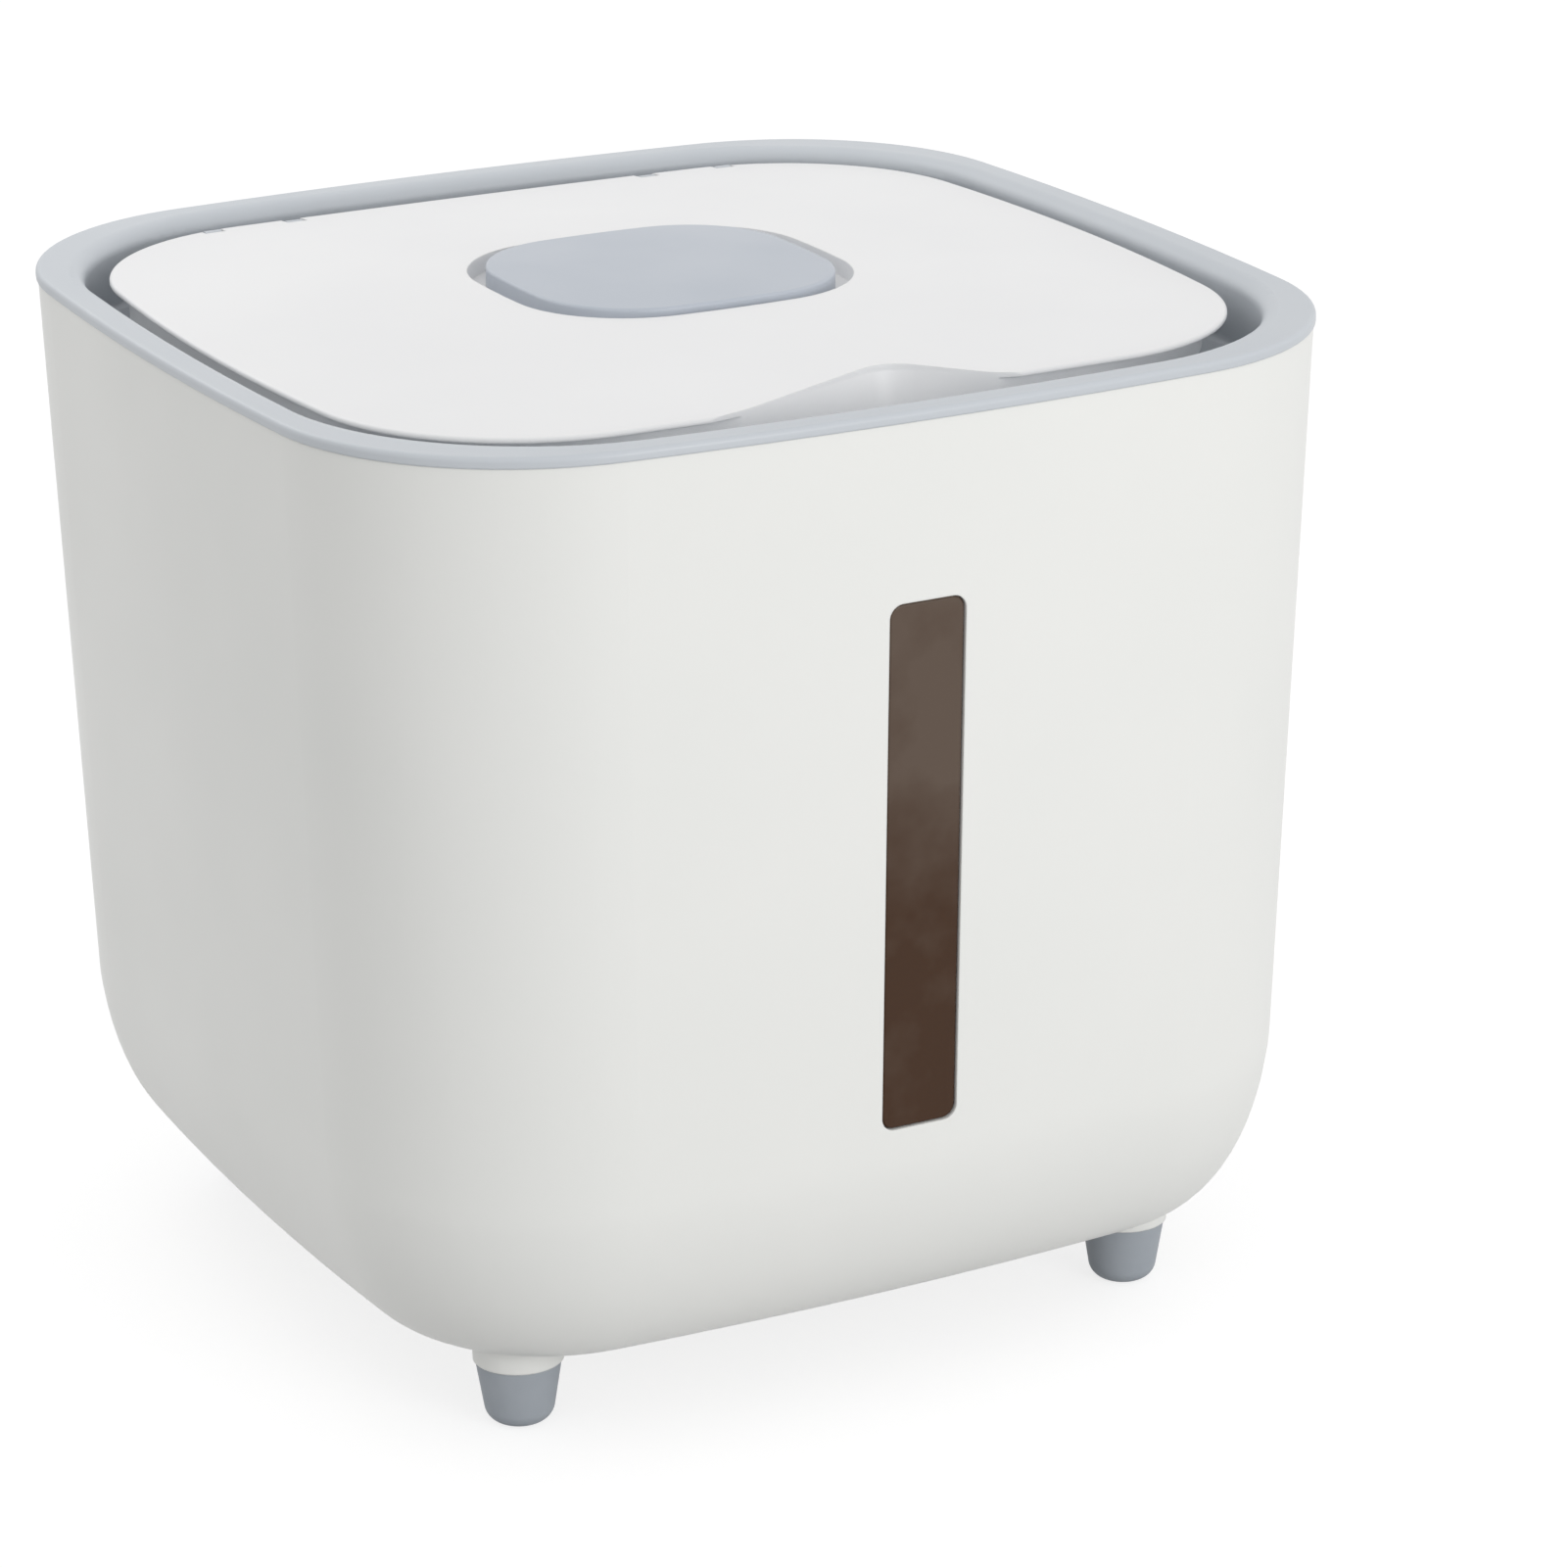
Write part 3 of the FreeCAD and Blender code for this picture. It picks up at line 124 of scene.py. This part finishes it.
def smoked(name, tones, roughness, constants):
    """A see-through moulding whose colour runs darker below the middle, from its light tone above to its
    deep tone below.
    """
    deep_up_to = 0.4
    light_from = 0.68
    wisp_mm = 16
    wisp_drift = 0.25
    gloss_drift = 0.03
    material, tree = new_material(name)
    low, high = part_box("window_pane")
    full = high[2] - low[2]
    place = add(tree, "ShaderNodeTexCoord").outputs["Object"]
    height = add(tree, "ShaderNodeSeparateXYZ", {}, {}, {"Vector": place}).outputs["Z"]
    rise = spread(tree, height, 0.0, 1.0, low[2] + deep_up_to * full, low[2] + light_from * full)
    wisps = noise(tree, place, wisp_mm, CLOUD_DETAIL)
    drift = spread(tree, wisps, -wisp_drift, wisp_drift)
    share = add(tree, "ShaderNodeMath", {"operation": "ADD", "use_clamp": True}, {}, {0: rise, 1: drift})
    colour = between(tree, *tones, share.outputs[0])
    gloss = spread(tree, wisps, roughness - gloss_drift, roughness + gloss_drift)
    normal = skin_normal(tree, place, grain_mm=4.0, grain_height_mm=0.002, edge_mm=0.4)
    finish_surface(tree, colour, gloss, normal, constants)
    return material


# Materials of the bin

# Polypropylene, injection moulded in a finely blasted tool: warm white, satin, with soft shadows.
body_polypropylene = moulded(
    "moulded_polypropylene_warm_white",
    tones=("#F4F4F1", "#EFF0ED"),
    roughness=0.42,
    cloud_mm=70,
    grain_mm=0.9,
    grain_height_mm=0.012,
    edge_mm=0.6,
    constants={"IOR": 1.49},
)
# The same resin for the lid, a touch cooler, with a smoother skin that carries a broad highlight.
lid_polypropylene = moulded(
    "moulded_polypropylene_white",
    tones=("#F5F5F5", "#F0F0F1"),
    roughness=0.36,
    cloud_mm=60,
    grain_mm=0.9,
    grain_height_mm=0.008,
    edge_mm=0.6,
    constants={"IOR": 1.49},
)
# Natural polypropylene of the inner mouldings: plainer, a little greyer, more matt.
inner_polypropylene = moulded(
    "moulded_polypropylene_natural",
    tones=("#ECECEA", "#E5E5E2"),
    roughness=0.5,
    cloud_mm=50,
    grain_mm=1.0,
    grain_height_mm=0.014,
    edge_mm=0.4,
    constants={"IOR": 1.49},
)
# ABS tinted blue-grey and moulded in a blasted tool: the even satin of the ring.
ring_abs = moulded(
    "moulded_abs_blue_grey",
    tones=("#CCD1D6", "#C6CBD1"),
    roughness=0.4,
    cloud_mm=60,
    grain_mm=0.9,
    grain_height_mm=0.01,
    edge_mm=0.5,
    constants={"IOR": 1.53},
)
# The cap's ABS is a shade deeper than the ring's.
cap_abs = moulded(
    "moulded_abs_cap_grey",
    tones=("#BFC5CE", "#B8BFC9"),
    roughness=0.4,
    cloud_mm=40,
    grain_mm=0.9,
    grain_height_mm=0.01,
    edge_mm=0.5,
    constants={"IOR": 1.53},
)
# Thermoplastic rubber, moulded: matt slate grey with a coarse grain.
foot_rubber = moulded(
    "moulded_rubber_slate",
    tones=("#AEB4BB", "#A4ABB3"),
    roughness=0.62,
    cloud_mm=9,
    grain_mm=0.8,
    grain_height_mm=0.02,
    edge_mm=0.3,
    constants={"IOR": 1.5},
)
# Silicone, compression moulded: pale, faintly cloudy and soft in its gloss.
seal_silicone = moulded(
    "moulded_silicone_pale",
    tones=("#DCDEDE", "#D3D6D6"),
    roughness=0.5,
    cloud_mm=12,
    grain_mm=0.7,
    grain_height_mm=0.01,
    edge_mm=0.3,
    constants={"IOR": 1.43},
)
# Stainless wire, drawn: fine scratches and a dull metal gloss.
pin_steel = moulded(
    "drawn_stainless_wire",
    tones=("#C4C4C2", "#B2B3B3"),
    roughness=0.32,
    cloud_mm=3,
    grain_mm=0.6,
    grain_height_mm=0.004,
    edge_mm=0.1,
    constants={"Metallic": 1.0},
)
# Smoked styrene acrylonitrile, moulded and polished: deep brown, glossy and see-through.
smoked_san = smoked(
    "polished_san_smoked_brown",
    tones=("#42260C", "#625246"),
    roughness=0.2,
    constants={"IOR": 1.57, "Specular IOR Level": 0.2, "Transmission Weight": 0.08},
)

finishes = {
    "outer_body": body_polypropylene,
    "window_pane": smoked_san,
    "window_gasket": seal_silicone,
    "foot_tip_front_left": foot_rubber,
    "foot_tip_front_right": foot_rubber,
    "foot_tip_back_left": foot_rubber,
    "foot_tip_back_right": foot_rubber,
    "rim_ring": ring_abs,
    "hinge_pin_left": pin_steel,
    "hinge_pin_right": pin_steel,
    "lid_top": lid_polypropylene,
    "lid_inner_panel": inner_polypropylene,
    "lid_seal": seal_silicone,
    "desiccant_basket": inner_polypropylene,
    "desiccant_cap": cap_abs,
}
for name, finish in finishes.items():
    bin_nodes[name].data.materials.clear()
    bin_nodes[name].data.materials.append(finish)

# Studio: the sheet lies a hair below the feet, so that no two faces share one plane.

SHEET_SIZE = 12.0
FOOT_CLEARANCE = 0.0001
SHEET_TONE = "#BCBCBC"
SHADOW_TONE = "#959595"
SHEET_LIFT = 0.78
TENT_LIGHT = 0.78
TENT_SEEN = 1.0


def seen_directly(tree):
    """One for a ray from the camera, from a gloss or through a clear piece, and zero for plain light."""
    rays = add(tree, "ShaderNodeLightPath")
    first = {0: rays.outputs["Is Camera Ray"], 1: rays.outputs["Is Glossy Ray"]}
    either = add(tree, "ShaderNodeMath", {"operation": "MAXIMUM"}, {}, first)
    second = {0: either.outputs[0], 1: rays.outputs["Is Transmission Ray"]}
    return add(tree, "ShaderNodeMath", {"operation": "MAXIMUM"}, {}, second).outputs[0]


def white_paper():
    """White paper that looks white to the camera, keeps a soft shadow and is clear from below."""
    material, tree = new_material("matt_white_paper")
    sheet = add(tree, "ShaderNodeBsdfDiffuse", {}, {"Color": linear(SHEET_TONE)})
    pale = add(tree, "ShaderNodeBsdfDiffuse", {}, {"Color": linear(SHADOW_TONE)})
    lift = add(tree, "ShaderNodeEmission", {}, {"Color": WHITE, "Strength": SHEET_LIFT})
    bright = add(tree, "ShaderNodeAddShader", {}, {}, {0: pale.outputs[0], 1: lift.outputs[0]})
    links = {0: seen_directly(tree), 1: sheet.outputs[0], 2: bright.outputs[0]}
    top = add(tree, "ShaderNodeMixShader", {}, {}, links)
    side = add(tree, "ShaderNodeNewGeometry").outputs["Backfacing"]
    clear = add(tree, "ShaderNodeBsdfTransparent", {}, {"Color": WHITE})
    paper = add(tree, "ShaderNodeMixShader", {}, {}, {0: side, 1: top.outputs[0], 2: clear.outputs[0]})
    add(tree, "ShaderNodeOutputMaterial", {}, {}, {"Surface": paper.outputs[0]})
    return material


bpy.ops.object.select_all(action="DESELECT")
bpy.ops.mesh.primitive_plane_add(size=SHEET_SIZE, location=(0, 0, -FOOT_CLEARANCE))
floor = bpy.context.object
floor.name = "studio_floor"
floor.data.materials.append(white_paper())

# The world is an even white tent: plain soft light, and white wherever the camera sees past the floor.
world = bpy.data.worlds.new("studio_tent")
bpy.context.scene.world = world
world.use_nodes = True
sky_tree = world.node_tree
sky_tree.nodes.clear()
levels = {"To Min": TENT_LIGHT, "To Max": TENT_SEEN}
level = add(sky_tree, "ShaderNodeMapRange", {}, levels, {"Value": seen_directly(sky_tree)})
sky = add(sky_tree, "ShaderNodeBackground", {}, {"Color": WHITE}, {"Strength": level.outputs["Result"]})
add(sky_tree, "ShaderNodeOutputWorld", {}, {}, {"Surface": sky.outputs[0]})


def softbox(name, size, watts, place, aim):
    """A round soft lamp that stands at a place and points at another."""
    data = bpy.data.lights.new(name, "AREA")
    data.shape = "DISK"
    data.size = size
    data.energy = watts
    lamp = bpy.data.objects.new(name, data)
    bpy.context.scene.collection.objects.link(lamp)
    lamp.location = place
    lamp.rotation_mode = "QUATERNION"
    lamp.rotation_quaternion = (Vector(aim) - lamp.location).to_track_quat("-Z", "Y")


# The key stands in front of the bin, low and a little to its right. A second lamp lights the lid from
# above and behind, so that the trough in front of the lid's edge stays in soft shade.
softbox("key_softbox", size=0.6, watts=4.1, place=(0.3, -1.2, 0.42), aim=(0, 0, 0.16))
softbox("top_softbox", size=0.4, watts=0.45, place=(-0.15, 0.45, 0.58), aim=(0, 0.05, 0.25))

# The camera stands where the photograph was taken from.
CAMERA_AZIMUTH = math.radians(-27.92)
CAMERA_ELEVATION = math.radians(19.546)
CAMERA_ROLL = math.radians(-0.446)
CAMERA_DISTANCE = 1.2006
CAMERA_AIM = Vector((-0.04506, -0.14572, 0.1741))
CAMERA_SENSOR_MM = 36.0
CAMERA_LENS_MM = 123.75

level_reach = math.cos(CAMERA_ELEVATION)
back = Vector((
    math.sin(CAMERA_AZIMUTH) * level_reach,
    -math.cos(CAMERA_AZIMUTH) * level_reach,
    math.sin(CAMERA_ELEVATION),
))
right = (-back).cross(Vector((0, 0, 1))).normalized()
up = right.cross(-back)
side = right * math.cos(CAMERA_ROLL) + up * math.sin(CAMERA_ROLL)
top = up * math.cos(CAMERA_ROLL) - right * math.sin(CAMERA_ROLL)
camera_data = bpy.data.cameras.new("camera")
camera_data.sensor_width = CAMERA_SENSOR_MM
camera_data.lens = CAMERA_LENS_MM
camera = bpy.data.objects.new("camera", camera_data)
bpy.context.scene.collection.objects.link(camera)
stand = Matrix((side, top, back)).transposed().to_4x4()
stand.translation = CAMERA_AIM + back * CAMERA_DISTANCE
camera.matrix_world = stand
bpy.context.scene.camera = camera

bpy.context.scene.view_settings.view_transform = "Standard"
